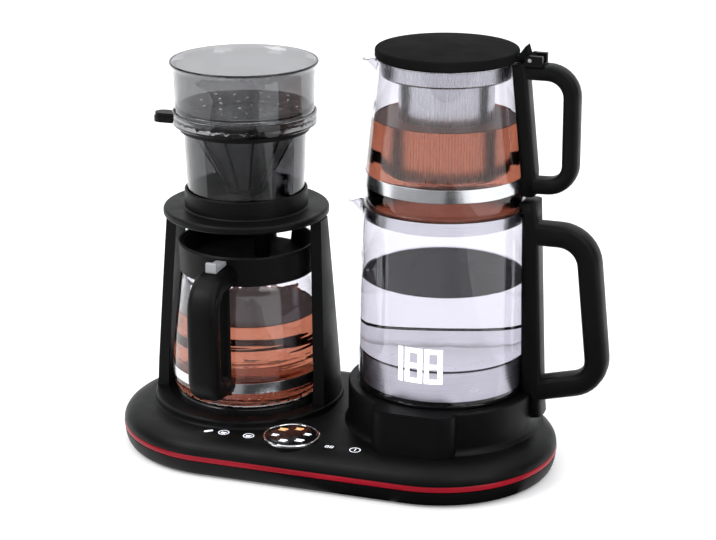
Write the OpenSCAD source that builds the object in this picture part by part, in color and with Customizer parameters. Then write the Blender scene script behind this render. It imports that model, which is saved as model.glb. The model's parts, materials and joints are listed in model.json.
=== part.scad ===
// Automatic tea maker with a coffee dripper: a long low base carries a tower
// with a carafe under a dripper, and a plinth with a glass kettle and a teapot
// nested in its mouth. +Z is up, -Y is the front with the controls, and the
// origin is the middle of the footprint on the surface the feet stand on.

/* [Base] */
// Overall length of the base
base_len = 402.2; // [392:0.5:410]
// Overall depth of the base
base_depth = 213; // [206:0.5:216]
// Height of the flat top of the base
base_top = 36; // [35:0.5:38]
// Width of the rounded shoulder round the top
shoulder_w = 22; // [18:0.5:24]
// Wall of the base shell
shell_wall = 3; // [2.5:0.1:3.5]
// Height of the middle of the trim band
trim_z = 18; // [16:0.1:19]
// Height of the trim band
trim_h = 5.6; // [3:0.1:6.5]
// How deep the trim band sits in its groove
trim_depth = 1.6; // [1.2:0.1:2]
// Thickness of the bottom pan
pan_t = 2.5; // [2:0.1:3]
// Height of the rubber feet below the pan
foot_h = 1.5; // [1:0.1:2.5]
// Radius of a rubber foot
foot_r = 9; // [7:0.5:12]
// Distance of the tower and kettle axes behind the middle of the base
axis_y = 11.5; // [9:0.5:12.5]
// Distance of the tower axis left of the middle of the base
tower_off = 89.5; // [85:0.25:90]
// Distance of the kettle axis right of the middle of the base
kettle_off = 95.6; // [95:0.25:98.5]

/* [Controls] */
// Place of the selector along the base, from its middle
dial_off = -17.3; // [-21:0.1:-15]
// Distance of the selector in front of the middle of the base
dial_front = 73; // [72:0.5:74]
// Radius of the selector disc
dial_r = 22.6; // [19:0.1:23.5]
// Width of the bright ring round the selector
bezel_w = 2.6; // [2:0.1:3]
// Height of the bright ring above the base
bezel_h = 2.4; // [1.8:0.1:3]
// Radius of the selector's stem
stem_r = 3; // [2.5:0.1:3.4]
// Radius of a key
key_r = 5.5; // [5:0.1:6]
// Travel of a key
key_travel = 0.8; // [0.5:0.1:1]
// Distance between two keys of a pair
key_pitch = 23.5; // [21:0.5:25]
// Distance from the selector to the nearer key of the left pair
key_left = 36.3; // [34:0.5:38]
// Distance from the selector to the nearer key of the right pair
key_right = 38.7; // [37:0.5:41]
// Distance of the row of keys in front of the middle of the base
key_front = 83.5; // [82:0.5:85]

/* [Tower] */
// Height of the foot ring above the base
foot_ring_h = 7; // [6:0.5:8]
// Radius of the tower's posts at the foot ring
post_foot_r = 85.5; // [84:0.5:87]
// Radius of the tower's posts just above their flare
post_low_r = 83.8; // [81:0.1:85]
// Radius of the collar that the posts carry
collar_r = 74.4; // [73:0.1:75]
// Thickness of a post
post_t = 10; // [9:0.5:11]
// Width of a post at the foot ring
post_foot_w = 50; // [40:1:54]
// Width of a post under the collar
post_top_w = 18; // [14:1:24]
// Height of the underside of the collar
collar_z = 212; // [210:0.5:214]
// Height of the collar
collar_h = 7; // [5:0.5:9]
// Radius of the warming plate
plate_r = 65.3; // [64:0.1:66]
// Height of the top of the warming plate
plate_z = 46.3; // [46:0.1:47]

/* [Dripper] */
// Outer radius of the dripper's cylinder under its ring
dripper_top_r = 54.5; // [54:0.1:55.5]
// How much narrower the dripper's cylinder is at its foot
dripper_taper = 2.7; // [2:0.1:3.5]
// Height of the socket's lip above the collar
lip_h = 16.6; // [15:0.1:18]
// Depth of the socket that holds the dripper
socket_depth = 13.3; // [11:0.1:15]
// Height of the dripper from its foot to its ring
dripper_h = 72; // [69:0.5:76]
// Height of the dripper's ring
ring_h = 11.5; // [10:0.5:13]
// How far the dripper's ring stands out of its cylinder
ring_w = 9.4; // [9:0.1:10]
// Wall of the dripper and of the water tank
clear_wall = 2; // [1.6:0.1:2.2]
// Distance from the filter cone's top to the outside of the dripper
cone_gap = 4.5; // [4:0.5:9]
// Radius of the filter cone at its foot
cone_foot_r = 16; // [10:0.5:18]
// Length of the filter cone
cone_h = 62; // [58:0.5:63]
// Number of ribs of the filter cone
cone_ribs = 12; // [8:1:14]
// Height of the water tank above the ring's floor
tank_h = 52; // [48:0.5:58]
// Width of the flare at the water tank's rim
tank_flare = 4; // [3.2:0.1:5]
// Height of the perforated plate above the tank's lower edge
shower_z = 10; // [9:0.5:11]
// Reach of the dripper's tab from the tower axis
tab_reach = 87; // [82:0.5:92]

/* [Drip stop] */
// Radius of the drip tube
tube_r = 7.5; // [7:0.1:8]
// Distance of the drip tube from the tower axis
tube_off = 14.6; // [13.5:0.1:16]
// Length of the drip tube below its guide
tube_len = 22.5; // [20:0.5:25.5]
// Lift of the drip tube against its spring
tube_lift = 3; // [2:0.5:3.5]

/* [Carafe] */
// Greatest radius of the carafe's glass
carafe_r = 69.5; // [68:0.1:69.8]
// Radius of the carafe's glass at its shoulder
carafe_neck_r = 60.6; // [60:0.1:61]
// Height of the carafe's glass up to its shoulder
carafe_h = 112; // [109:0.5:115]
// Wall of every glass vessel
glass_wall = 2.4; // [2:0.1:2.8]
// Height of the steel band above the carafe's bottom
carafe_band_z = 16.3; // [14:0.5:18]
// Height of the carafe's steel band
carafe_band_h = 9.6; // [8:0.1:11]
// Height of the carafe's collar
carafe_collar_h = 26.3; // [25:0.1:27]
// Reach of the carafe's handle from its axis
carafe_handle_reach = 114; // [107:0.5:118]

/* [Kettle] */
// Radius of the kettle's plinth
plinth_r = 84; // [83.5:0.1:84.3]
// Height of the top of the plinth above the base
plinth_h = 38; // [36:0.5:40]
// Width of the pillar on the plinth's front
nose_w = 75; // [60:0.5:78]
// Reach of the pillar from the kettle axis
nose_reach = 94; // [87:0.5:96]
// Outer radius of the kettle's glass at its foot
kettle_r = 75; // [74.5:0.1:76]
// Outer radius of the kettle's glass at its rim
kettle_rim_r = 72.6; // [72.5:0.1:74]
// Height of the kettle's glass
kettle_h = 163.8; // [160:0.5:168]
// Height of the steel wall of the kettle's pan
pan_wall_h = 26.5; // [25:0.5:29]
// Height of the seat ring in the kettle's mouth
seat_h = 13; // [12:0.5:14]
// Reach of the kettle's handle from its axis
kettle_reach = 149.1; // [146:0.1:152]
// Reach of the tip of the kettle's beak from its axis
kettle_beak = 87.6; // [85:0.1:89]
// Drop of the tip of the kettle's beak below its rim
kettle_lip_drop = 7.5; // [6:0.5:9]
// Thickness of the kettle's handle
kettle_grip = 20.6; // [19:0.1:22]
// Height of the digits of the temperature display
digit_h = 31; // [28:0.5:33]

/* [Teapot] */
// Greatest outer radius of the teapot's glass
teapot_r = 68.9; // [68.5:0.1:69.1]
// Outer radius of the teapot's glass at its rim
teapot_rim_r = 59.2; // [58.8:0.1:60]
// Depth that the teapot sinks into the kettle's mouth
nest_depth = 8.6; // [8:0.1:9]
// Height of the teapot's glass
teapot_h = 133.1; // [130:0.5:136]
// Height of the steel band above the teapot's bottom
teapot_band_z = 25.1; // [24:0.5:27]
// Height of the teapot's steel band
teapot_band_h = 11.7; // [10:0.1:13]
// Radius of the teapot's lid
lid_r = 61.5; // [61:0.1:62.5]
// Height of the teapot's lid at its middle
lid_h = 10.8; // [9:0.1:12]
// Radius of the infuser basket
basket_r = 41; // [38:0.5:43]
// Depth of the infuser basket below the rim
basket_depth = 100; // [95:0.5:102]
// Number of slots round the infuser basket
basket_slots = 24; // [18:1:28]
// Reach of the tip of the teapot's beak from its axis
teapot_beak = 74.9; // [73:0.1:76]
// Drop of the tip of the teapot's beak below its rim
teapot_lip_drop = 4.5; // [4:0.5:6]
// Thickness of the teapot's handle
teapot_grip = 14.4; // [13:0.1:16]
// Reach of the teapot's handle from its axis
teapot_reach = 116.6; // [113:0.1:120]

/* [Hidden] */
$fn = 96;

fit_gap = 0.15;        // between fixed pieces with curved faces
seat_gap = 0.3;        // between a piece that lifts off and its seat
run_gap = 0.05;        // radial play of a pin or stem in its bore
beak_wall = 1.7;       // of the glass beaks
trim_proud = 0.3;      // how far the trim band stands out of the base
cut = 0.5;             // how far a cutter runs past what it cuts

// heights of the base
pan_top = foot_h + pan_t;
shell_under = base_top - shell_wall;
board_z = base_top - 11.6;
board_t = 1.6;
board_top = board_z + board_t;

// radii of the dripper, the filter cone and the water tank
dripper_r = dripper_top_r - dripper_taper;
ring_r = dripper_top_r + ring_w;
cone_r = dripper_top_r - cone_gap;
ring_wall = 1.7;
tank_r = ring_r - ring_wall - 0.5;
tank_rim_r = tank_r + tank_flare;

// heights of the tower
foot_ring_z = base_top + foot_ring_h;
collar_top = collar_z + collar_h;
lip_z = collar_top + lip_h;
socket_z = lip_z - socket_depth;
dripper_z = socket_z + seat_gap;
ring_z = dripper_z + dripper_h;
filter_z = ring_z + clear_wall + seat_gap;
rim_t = 1.5;
tank_z = filter_z + rim_t + seat_gap;
guide_h = 10;
sleeve_h = 8;
guide_z = collar_z - guide_h;
sleeve_z = guide_z - sleeve_h;

// heights of the carafe
carafe_z = plate_z + seat_gap;
carafe_top = carafe_z + carafe_h;
collar_ring_z = carafe_top + 2;
carafe_rim = collar_ring_z + carafe_collar_h;
carafe_floor = collar_ring_z + 6.4;

// heights of the kettle and the teapot
plinth_top = base_top + plinth_h;
pocket_depth = 1.5;
kettle_z = plinth_top - pocket_depth + seat_gap;
glass_z = kettle_z + 3.2;
kettle_rim = glass_z + kettle_h;
pan_z = glass_z + 4;
pan_wall_top = pan_z + pan_wall_h;
pan_floor_z = pan_z + 10;
teapot_z = kettle_rim - nest_depth;
teapot_rim = teapot_z + teapot_h;
belly_z = teapot_z + teapot_band_z + teapot_band_h;
lid_z = teapot_rim + 1.2;
pin_x = 74;
pin_r = 1.6;
knuckle_r = 3.2;
pin_z = lid_z + 4.3;

// the middle line of the kettle's handle, and how far the handle reaches
kettle_bar = kettle_reach - kettle_grip / 2;
kettle_loop = rounded_path([kettle_rim_r + 5, kettle_rim - 21.4],
    [[[kettle_bar - 12, kettle_rim - 21.4], 27], [[kettle_bar + 2, glass_z + 13.5], 24]],
    [kettle_r + 9, glass_z - 0.5]);
handle_out = max([for (p = kettle_loop) p[0]]) + kettle_grip / 2;

// places on the base
base_r = base_depth / 2;
straight = base_len - base_depth;
base_x = -(kettle_off + handle_out - base_len / 2 - trim_proud) / 2;
tower_x = base_x - tower_off;
kettle_x = base_x + kettle_off;
dial_x = base_x + dial_off;
key_xs = [dial_x - key_left - key_pitch, dial_x - key_left,
          dial_x + key_right, dial_x + key_right + key_pitch];
pan_r = base_r - 12;

matte_black = "#1b1b1d";
trim_red = "#9c1626";
steel = "#b9bcc0";
clear = [0.82, 0.86, 0.88, 0.4];
smoke = [0.25, 0.25, 0.27, 0.6];
rubber = "#101010";

module at_tower() translate([tower_x, axis_y, 0]) children();
module at_kettle() translate([kettle_x, axis_y, 0]) children();

// points along an ellipse from angle a0 to a1
function ell(cx, cz, rx, rz, a0, a1, n = 12) =
    [for (i = [0:n]) let (a = a0 + (a1 - a0) * i / n) [cx + rx * cos(a), cz + rz * sin(a)]];

function unit(v) = v / norm(v);

// the points of a path whose corners are rounded, each corner given as [point, radius]
function corner(p0, p1, p2, r, n) =
    let (a = unit(p0 - p1), b = unit(p2 - p1), half = acos(a * b) / 2,
         c = p1 + unit(a + b) * r / sin(half), v0 = p1 + a * r / tan(half) - c,
         v1 = p1 + b * r / tan(half) - c, turn = 180 - 2 * half)
    [for (i = [0:n]) let (t = i / n) c + (v0 * sin((1 - t) * turn) + v1 * sin(t * turn)) / sin(turn)];

function rounded_path(start, corners, end, n = 9) =
    let (all = concat([start], [for (c = corners) c[0]], [end]))
    concat([start], [for (i = [0:len(corners) - 1])
        each corner(all[i], all[i + 1], all[i + 2], corners[i][1], n)], [end]);

// a bar with a rounded section swept along a path in the XZ plane
module swept_bar(path, half_w, half_t, sides = 16, square = 0.62) {
    n = len(path);
    function tangent(i) = unit(path[min(i + 1, n - 1)] - path[max(i - 1, 0)]);
    function bow(v) = sign(v) * pow(abs(v), square);
    points = [for (i = [0:n - 1]) let (t = tangent(i)) for (k = [0:sides - 1])
        let (a = 360 * k / sides, u = half_w * bow(cos(a)), v = half_t * bow(sin(a)))
        [path[i][0] - t[1] * v, u, path[i][1] + t[0] * v]];
    faces = concat(
        [[for (k = [0:sides - 1]) k]],
        [[for (k = [sides - 1:-1:0]) (n - 1) * sides + k]],
        [for (i = [0:n - 2]) for (k = [0:sides - 1]) let (a = i * sides + k, b = i * sides + (k + 1) % sides)
            each [[a, a + sides, b], [b, a + sides, b + sides]]]);
    polyhedron(points, faces, convexity = 6);
}

// a solid with straight sides and round ends, from a half profile that starts on the axis
module long_solid(profile) {
    for (s = [-1, 1]) translate([s * straight / 2, 0, 0]) rotate_extrude() polygon(profile);
    rotate([90, 0, 90]) translate([0, 0, -straight / 2]) linear_extrude(straight)
        polygon(concat(profile, [for (i = [len(profile) - 1:-1:0]) [-profile[i][0], profile[i][1]]]));
}

// a ring with straight sides and round ends
module long_ring(profile) {
    for (s = [-1, 1]) translate([s * straight / 2, 0, 0]) rotate([0, 0, -90 * s])
        rotate_extrude(angle = 180) polygon(profile);
    for (s = [-1, 1]) rotate([90, 0, 90]) translate([0, 0, -straight / 2]) linear_extrude(straight)
        polygon([for (p = profile) [s * p[0], p[1]]]);
}

under_in = 6;
function base_profile(inset) =
    let (r = base_r - inset, low = foot_h + (inset > 0 ? pan_t + 2 : 0))
    concat([[0, low]],
        inset > 0 ? [[pan_r - 2, low], [r, low + 6]]
                  : ell(r - under_in, trim_z, under_in, trim_z - foot_h + 0.1, -82, 0, 8),
        ell(base_r - shoulder_w, trim_z + trim_h / 2, shoulder_w - inset,
            base_top - trim_z - trim_h / 2 - inset, 0, 90, 12),
        [[0, base_top - inset]]);

module base_outer() translate([base_x, 0, 0]) long_solid(base_profile(0));

// screws and feet on the base's round ends: so far in from the edge, at these angles
edge_in = 18.8;
function end_place(i, j, a) = [base_x + i * (straight / 2 + (base_r - edge_in) * cos(a)),
                               j * (base_r - edge_in) * sin(a)];
screw_places = concat([for (j = [-1, 1]) [base_x, j * (base_r - edge_in - 1.2)]],
    [for (i = [-1, 1]) for (j = [-1, 1]) end_place(i, j, 43.1)]);
foot_places = [for (i = [-1, 1]) for (j = [-1, 1]) end_place(i, j, 60.3)];
board_len = key_xs[3] - key_xs[0] + 16;
board_mid = (key_xs[3] + key_xs[0]) / 2;
board_w = 28;
board_y = -(dial_front + 1);
board_posts = [for (i = [-1, 1]) for (j = [-1, 1])
    [board_mid + i * (board_len / 2 - 6), board_y + j * (board_w / 2 - 4)]];
boss_r = dial_r + bezel_w + 0.6;
lens_x = key_xs[0] - 14.5;

module lens_shape(grow) {
    for (s = [-1, 1]) translate([s * 2.6, 0]) circle(r = 1.5 + grow, $fn = 32);
    square([5.2, 3 + 2 * grow], center = true);
}

module at_lens() translate([lens_x, -key_front, 0]) rotate([0, 0, 38]) children();

gland_z = 9.6;
gland_r = 4.4;

module base_shell() color(matte_black) difference() {
    union() {
        difference() {
            base_outer();
            translate([base_x, 0, 0]) {
                long_solid(base_profile(shell_wall));
                long_solid([[0, foot_h - cut], [pan_r + fit_gap, foot_h - cut],
                            [pan_r + fit_gap, pan_top], [0, pan_top]]);
                long_solid([[0, pan_top - cut], [pan_r - 2, pan_top - cut],
                            [pan_r - 2, pan_top + 3], [0, pan_top + 3]]);
            }
        }
        for (p = screw_places) translate([p[0], p[1], pan_top]) cylinder(h = shell_under - pan_top + 1, r = 4);
        translate([dial_x, -dial_front, shell_under - 2]) cylinder(h = base_top - shell_under + 2, r = boss_r);
    }
    translate([base_x, 0, 0]) long_ring([[base_r - trim_depth, trim_z - trim_h / 2],
        [base_r + cut, trim_z - trim_h / 2], [base_r + cut, trim_z + trim_h / 2],
        [base_r - trim_depth, trim_z + trim_h / 2]]);
    for (p = screw_places) translate([p[0], p[1], pan_top - cut]) cylinder(h = 12, r = 1.5);
    translate([dial_x, -dial_front, shell_under - 3]) cylinder(h = 12, r = stem_r + 1);
    for (x = key_xs) translate([x, -key_front, 0]) {
        translate([0, 0, base_top - 5]) cylinder(h = 10, r = key_r + seat_gap);
        translate([0, 0, board_top]) cylinder(h = shell_under - board_top, r = key_r + 1.4);
    }
    at_lens() translate([0, 0, base_top - 1.5]) linear_extrude(5) lens_shape(fit_gap);
    translate([base_x, base_r - 12, gland_z]) rotate([-90, 0, 0]) {
        cylinder(h = 20, r = gland_r + fit_gap);
        translate([0, 0, -8]) cylinder(h = 14.6, r = gland_r + 1.4 + fit_gap);
    }
}

module trim_band() color(trim_red) translate([base_x, 0, 0])
    long_ring(concat([[base_r - trim_depth + fit_gap, trim_z - trim_h / 2 + fit_gap]],
        ell(base_r + trim_proud - 1.2, trim_z, 1.2, trim_h / 2 - fit_gap, -90, 90, 8),
        [[base_r - trim_depth + fit_gap, trim_z + trim_h / 2 - fit_gap]]));

module base_pan() color(matte_black) difference() {
    union() {
        translate([base_x, 0, 0])
            long_solid([[0, foot_h], [pan_r, foot_h], [pan_r, pan_top], [0, pan_top]]);
        for (p = board_posts) translate([p[0], p[1], foot_h]) cylinder(h = board_z - foot_h, r = 3);
    }
    for (p = screw_places) translate([p[0], p[1], foot_h - cut]) {
        cylinder(h = 1.6 + cut, r = 3.4);
        cylinder(h = 6, r = 1.7);
    }
    for (i = [-3:3]) translate([base_x + 60 + i * 9, 0, foot_h + pan_t / 2]) cube([3, 40, pan_t + 2], center = true);
}

module rubber_feet() color(rubber) for (p = foot_places) translate([p[0], p[1], 0])
    rotate_extrude() polygon([[0, 0], [foot_r - 0.6, 0], [foot_r, 0.6], [foot_r, foot_h], [0, foot_h]]);

module base_screws() color(steel) for (p = screw_places) translate([p[0], p[1], foot_h + 0.2]) difference() {
    union() {
        cylinder(h = 1.3, r = 3);
        cylinder(h = 11, r = 1.4);
    }
    for (a = [0, 90]) rotate([0, 0, a]) cube([3.4, 0.8, 1.6], center = true);
}

module cord_gland() color(rubber) translate([base_x, base_r - 7, gland_z]) rotate([-90, 0, 0]) rotate_extrude()
    polygon([[0, 0], [gland_r + 1.4, 0], [gland_r + 1.4, 1.4], [gland_r, 1.6], [gland_r, 6.4], [gland_r - 0.8, 7],
             [gland_r - 1.6, 7], [gland_r - 2, 4.6], [0, 4.2]]);

module control_board() color("#1f5a36") {
    difference() {
        translate([board_mid - board_len / 2, board_y - board_w / 2, board_z]) cube([board_len, board_w, board_t]);
        translate([dial_x, -dial_front, board_z - cut]) cylinder(h = board_t + 2 * cut, r = stem_r + 1);
        for (p = screw_places) translate([p[0], p[1], board_z - cut]) cylinder(h = board_t + 2 * cut, r = 4.6);
    }
    for (x = key_xs) translate([x - 3, -key_front - 1.6, board_top]) cube([6, 6, 2]);
    for (i = [0:4]) translate([dial_x - 34 + i * 4, board_y + 4, board_top]) cube([3, 5, 1.4]);
    translate([dial_x + 18, board_y + 1, board_top]) cube([9, 9, 1.6]);
}

module selector_encoder() color("#2b2b2e") translate([dial_x, -dial_front, board_top]) difference() {
    translate([-7, -7, 0]) cube([14, 14, 5]);
    translate([0, 0, -cut]) cylinder(h = 7, r = stem_r + run_gap);
}

module selector_bezel() color("#c9ccd0") translate([dial_x, -dial_front, base_top]) rotate_extrude()
    polygon(concat([[dial_r + 0.4, 0], [dial_r + bezel_w, 0]],
        ell(dial_r + bezel_w / 2 + 0.2, bezel_h - 1.1, bezel_w / 2 - 0.2, 1.1, 0, 180, 8)));

module selector_dial() color("#151517") translate([dial_x, -dial_front, 0]) {
    translate([0, 0, base_top]) rotate_extrude() polygon([[0, 0.4], [dial_r - 0.6, 0.4], [dial_r, 1],
        [dial_r, bezel_h - 0.6], [dial_r - 0.7, bezel_h], [dial_r - 3, bezel_h + 0.25], [0, bezel_h + 0.5]]);
    translate([0, 0, board_z + 0.4]) cylinder(h = base_top - board_z, r = stem_r);
}

module key_cap(i) color("#232326") translate([key_xs[i], -key_front, 0]) {
    translate([0, 0, shell_under]) rotate_extrude() polygon([[0, -1], [key_r - 1, -1],
        [key_r, 0], [key_r, base_top - shell_under + 0.1], [key_r - 0.5, base_top - shell_under + 0.5],
        [0, base_top - shell_under + 0.3]]);
    translate([0, 0, shell_under - 1.6]) cylinder(h = 1.3, r = key_r + 0.9);
    translate([0, 0, board_top + 3]) cylinder(h = shell_under - board_top - 3, r = 2);
}

module indicator_lens() color("#e8e8ea") at_lens() translate([0, 0, base_top - 1.4]) linear_extrude(1.5) lens_shape(0);

// ---- tower ----

module tower_foot() color(matte_black) difference() {
    at_tower() difference() {
        rotate_extrude() polygon(concat([[0, base_top - 8], [post_foot_r + 5, base_top - 8]],
            [for (i = [0:8]) let (a = 90 * i / 8) [post_foot_r + 5 - 4 * sin(a), base_top - 1 + 4 * (1 - cos(a))]],
            ell(post_foot_r - 1, foot_ring_z - 2, 2, 2, 0, 90, 4), [[0, foot_ring_z]]));
        translate([0, 0, base_top + 2]) cylinder(h = 20, r = plate_r + seat_gap);
        translate([0, 0, foot_ring_z - 2.4]) cylinder(h = 10, r = post_foot_r - post_t - 3);
    }
    base_outer();
    translate([dial_x, -dial_front, base_top - cut]) cylinder(h = 20, r = boss_r + fit_gap);
}

// half the width of the carafe's way out, which follows the carafe's own taper
function way(z) = z < carafe_z + 30 ? carafe_r : carafe_r - (z - carafe_z - 30) * 0.098;

module post(side) color(matte_black) at_tower() difference() {
    intersection() {
        rotate([0, 0, (side > 0 ? 0 : 180) - 40]) rotate_extrude(angle = 80)
            polygon([[post_foot_r - post_t - 2, foot_ring_z], [post_foot_r, foot_ring_z],
                     [post_foot_r - 1, foot_ring_z + 8], [post_low_r, foot_ring_z + 24],
                     [collar_r, collar_z], [collar_r - post_t, collar_z],
                     [post_low_r - post_t, foot_ring_z + 24]]);
        rotate([90, 0, 90]) translate([0, 0, -100]) linear_extrude(200) polygon([
            [-post_foot_w / 2, foot_ring_z], [post_foot_w / 2, foot_ring_z],
            [post_top_w / 2, collar_z], [-post_top_w / 2, collar_z]]);
    }
    rotate([90, 0, 0]) translate([0, 0, -100]) linear_extrude(200) polygon([
        [-way(foot_ring_z) - 0.9, foot_ring_z - cut], [way(foot_ring_z) + 0.9, foot_ring_z - cut],
        [way(carafe_z + 30) + 0.9, carafe_z + 30], [way(carafe_top) + 2.2, carafe_top],
        [way(carafe_top) + 2.2, carafe_rim + 6], [-way(carafe_top) - 2.2, carafe_rim + 6],
        [-way(carafe_top) - 2.2, carafe_top], [-way(carafe_z + 30) - 0.9, carafe_z + 30]]);
}

module left_post() post(-1);
module right_post() post(1);

module tower_collar() color(matte_black) at_tower() difference() {
    rotate_extrude() polygon(concat([[14, collar_z]],
        ell(collar_r - 2, collar_z + 2, 2, 2, -90, 0, 4),
        ell(collar_r - 2.4, collar_top - 2.4, 2.4, 2.4, 0, 90, 4),
        [[dripper_r + 4.6, collar_top], [dripper_r + 3.6, collar_top + 1], [dripper_r + 3.2, lip_z - 0.8],
         [dripper_r + 2.4, lip_z], [dripper_r + 1.4, lip_z], [dripper_r + seat_gap + 0.55, lip_z - 0.8],
         [dripper_r + seat_gap, socket_z], [14, socket_z]]));
}

// the way from the dripper's outlet to the drip tube, under the collar
module drip_guide() color("#242427") at_tower() difference() {
    union() {
        translate([0, 0, guide_z]) cylinder(h = guide_h, r = 30);
        translate([tube_off, 0, sleeve_z]) cylinder(h = sleeve_h + 1, r = tube_r + 3);
        translate([0, 0, collar_z - 1]) cylinder(h = 5, r = 13.8);
    }
    translate([tube_off, 0, sleeve_z - cut]) cylinder(h = guide_h + sleeve_h, r = tube_r + run_gap);
    translate([tube_off, 0, guide_z + 2]) cylinder(h = 6.5, r = tube_r + 3);
    translate([0, 0, collar_z - 1]) cylinder(h = 10, r = 11);
    translate([0, 0, guide_z + 5]) cylinder(h = 8, r = 4);
}

module drip_tube() color("#2a2a2d") at_tower() translate([tube_off, 0, 0]) rotate_extrude() polygon([
    [tube_r - 2.4, sleeve_z - tube_len + 0.6], [tube_r - 1.8, sleeve_z - tube_len],
    [tube_r - 1, sleeve_z - tube_len], [tube_r, sleeve_z - tube_len + 1],
    [tube_r, guide_z + 2 + seat_gap], [tube_r + 2.4, guide_z + 2 + seat_gap],
    [tube_r + 2.4, guide_z + 3.4 + seat_gap], [tube_r - 2.4, guide_z + 3.4 + seat_gap]]);

// an open coil spring between the drip tube's flange and the roof of its chamber
spring_turns = 2;
spring_wire = 0.35;
spring_low = guide_z + 3.4 + seat_gap + spring_wire + 0.1;
spring_high = guide_z + 8.5 - spring_wire - 0.1;
module drip_spring() color(steel) at_tower() translate([tube_off, 0, 0]) {
    rings = spring_turns * 12;
    sides = 6;
    points = [for (i = [0:rings]) let (a = 360 * spring_turns * i / rings,
              z = spring_low + (spring_high - spring_low) * i / rings) for (k = [0:sides - 1])
        let (b = 360 * k / sides, r = tube_r + 0.8 + spring_wire * cos(b))
        [r * cos(a), r * sin(a), z + spring_wire * sin(b)]];
    faces = concat([[for (k = [0:sides - 1]) k]], [[for (k = [sides - 1:-1:0]) rings * sides + k]],
        [for (i = [0:rings - 1]) for (k = [0:sides - 1]) let (a = i * sides + k, b = i * sides + (k + 1) % sides)
            each [[a, a + sides, b], [b, a + sides, b + sides]]]);
    polyhedron(points, faces, convexity = 8);
}

module warming_plate() color("#2b2b2d") at_tower() rotate_extrude() polygon([
    [0, plate_z - 2], [plate_r - 2, plate_z - 2], [plate_r - 2, base_top + 2], [plate_r, base_top + 2],
    [plate_r, plate_z - 1.2], [plate_r - 1.2, plate_z], [plate_r - 5, plate_z], [plate_r - 6, plate_z - 0.6],
    [0, plate_z - 0.6]]);

module plate_heater() color("#8a8d91") at_tower() {
    translate([0, 0, plate_z - 5.2]) rotate_extrude() translate([44, 0]) circle(r = 3, $fn = 24);
    translate([0, 0, base_top + 2]) cylinder(h = plate_z - base_top - 4.2, r = 11);
}

// ---- dripper, filter and water tank ----

module dripper_body() color(smoke) at_tower() rotate_extrude() polygon([
    [8, dripper_z], [dripper_r - 1, dripper_z], [dripper_r, dripper_z + 1], [dripper_top_r, ring_z - 1],
    [dripper_top_r, ring_z], [ring_r - 0.8, ring_z], [ring_r, ring_z + 0.8], [ring_r, ring_z + ring_h - 0.5],
    [ring_r - 0.5, ring_z + ring_h], [ring_r - ring_wall, ring_z + ring_h], [ring_r - ring_wall, ring_z + clear_wall],
    [dripper_top_r - clear_wall, ring_z + clear_wall], [dripper_top_r - clear_wall, ring_z],
    [dripper_r - clear_wall, dripper_z + clear_wall + 1], [dripper_r - clear_wall - 2, dripper_z + clear_wall],
    [8, dripper_z + clear_wall]]);

module dripper_tab() color(matte_black) at_tower() difference() {
    union() {
        translate([0, 0, ring_z - 5.2]) cylinder(h = 5, r = dripper_top_r + 3.4);
        translate([-tab_reach + 8, 0, ring_z - 5.2]) cylinder(h = 5, r = 8);
        translate([-tab_reach + 8, -8, ring_z - 5.2]) cube([tab_reach - dripper_top_r - 8, 16, 5]);
        translate([-tab_reach + 8, 0, ring_z - 0.4]) cylinder(h = 3.6, r = 7);
        translate([-tab_reach + 8, -7, ring_z - 0.4]) cube([tab_reach - ring_r - 8.4, 14, 3.6]);
    }
    translate([0, 0, ring_z - 6]) cylinder(h = 7, r = dripper_top_r + fit_gap);
}

// the open frame that holds the cone of mesh
function cone_at(z) = cone_foot_r + (cone_r - cone_foot_r) * (z - (filter_z - cone_h)) / cone_h;
filter_foot = filter_z - cone_h;

module filter_frame() color("#3a3a3d") at_tower() {
    rotate_extrude() polygon([[cone_r + 0.2, filter_z - 3], [cone_r + 2, filter_z - 3], [cone_r + 2, filter_z],
        [dripper_top_r + 3, filter_z], [dripper_top_r + 3, filter_z + rim_t], [cone_r + 0.2, filter_z + rim_t]]);
    rotate_extrude() polygon([[cone_foot_r - 3, filter_foot - 3], [cone_foot_r + 2, filter_foot - 3],
        [cone_foot_r + 3.4, filter_foot], [cone_foot_r + 3.4, filter_foot + 2], [cone_foot_r + 1.8, filter_foot + 2],
        [cone_foot_r + 0.8, filter_foot - 0.6], [cone_foot_r - 3, filter_foot - 0.6]]);
    for (i = [0:cone_ribs - 1]) rotate([0, 0, 360 * i / cone_ribs]) rotate([90, 0, 0])
        translate([0, 0, -0.9]) linear_extrude(1.8) polygon([
            [cone_at(filter_foot) + 1.2, filter_foot + 1], [cone_at(filter_foot) + 3, filter_foot + 1],
            [cone_at(filter_z) + 2, filter_z - 1], [cone_at(filter_z) + 0.7, filter_z - 1]]);
}

module filter_mesh() color("#77797d") at_tower() rotate_extrude() polygon([
    [0, filter_foot - 0.2], [cone_foot_r - 0.4, filter_foot - 0.2], [cone_r - 0.5, filter_z],
    [cone_r - 0.1, filter_z], [cone_foot_r, filter_foot - 0.5], [0, filter_foot - 0.5]]);

module tank_shell() color(smoke) at_tower() rotate_extrude() polygon([
    [tank_r - clear_wall, tank_z], [tank_r - 0.4, tank_z], [tank_r, tank_z + 0.4],
    [tank_r + 0.4, tank_z + tank_h - 16], [tank_r + 1.2, tank_z + tank_h - 6], [tank_rim_r - 0.3, tank_z + tank_h - 2],
    [tank_rim_r, tank_z + tank_h - 1], [tank_rim_r - 0.6, tank_z + tank_h], [tank_rim_r - 2, tank_z + tank_h],
    [tank_r + 1.2 - clear_wall, tank_z + tank_h - 5.4], [tank_r + 0.4 - clear_wall, tank_z + tank_h - 16],
    [tank_r - clear_wall, tank_z + shower_z], [tank_r - clear_wall - 2, tank_z + shower_z - 0.4],
    [tank_r - clear_wall - 2, tank_z + shower_z - 2], [tank_r - clear_wall, tank_z + shower_z - 3]]);

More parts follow.
